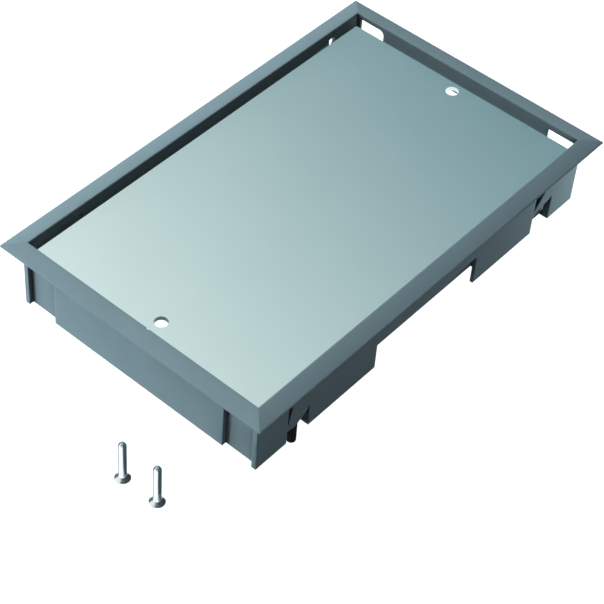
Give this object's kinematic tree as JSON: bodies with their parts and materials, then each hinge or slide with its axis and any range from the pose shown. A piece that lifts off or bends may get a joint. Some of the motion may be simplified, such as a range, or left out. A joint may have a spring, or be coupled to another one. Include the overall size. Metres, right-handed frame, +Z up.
{
  "type": "floor box cover",
  "caption": "Rectangular floor box cover: moulded frame with a wide flange and deep skirt, a sunk metal cover plate, countersunk plate screws and levelling screws.",
  "frame": {"origin": "middle of the plate's top face", "axes": "+X along the frame, +Y across it, +Z up out of the floor"},
  "size_m": [0.3716, 0.2038, 0.0591],
  "materials": {
    "moulded_frame": "slate grey moulded plastic, fine satin",
    "plate_steel": "satin zinc-coated sheet steel",
    "zinc_screw": "bright zinc plate",
    "dark_screw": "blackened steel"
  },
  "bodies": {
    "root": {"frame": "moulded_frame", "cover_plate": "plate_steel", "cover_screw_left": "zinc_screw", "cover_screw_right": "zinc_screw"},
    "levelling_front_left": {"levelling_screw_front_left": "dark_screw"},
    "levelling_front_right": {"levelling_screw_front_right": "dark_screw"},
    "levelling_back_left": {"levelling_screw_back_left": "dark_screw"},
    "levelling_back_right": {"levelling_screw_back_right": "dark_screw"}
  },
  "joints": [
    {"name": "front_left_travel", "type": "slide", "parent": "root", "child": "levelling_front_left", "axis": [0, 0, 1], "range_m": [0, 0.0208]},
    {"name": "front_right_travel", "type": "slide", "parent": "root", "child": "levelling_front_right", "axis": [0, 0, 1], "range_m": [-0.0208, 0]},
    {"name": "back_left_travel", "type": "slide", "parent": "root", "child": "levelling_back_left", "axis": [0, 0, 1], "range_m": [-0.0208, 0]},
    {"name": "back_right_travel", "type": "slide", "parent": "root", "child": "levelling_back_right", "axis": [0, 0, 1], "range_m": [-0.0208, 0]}
  ]
}
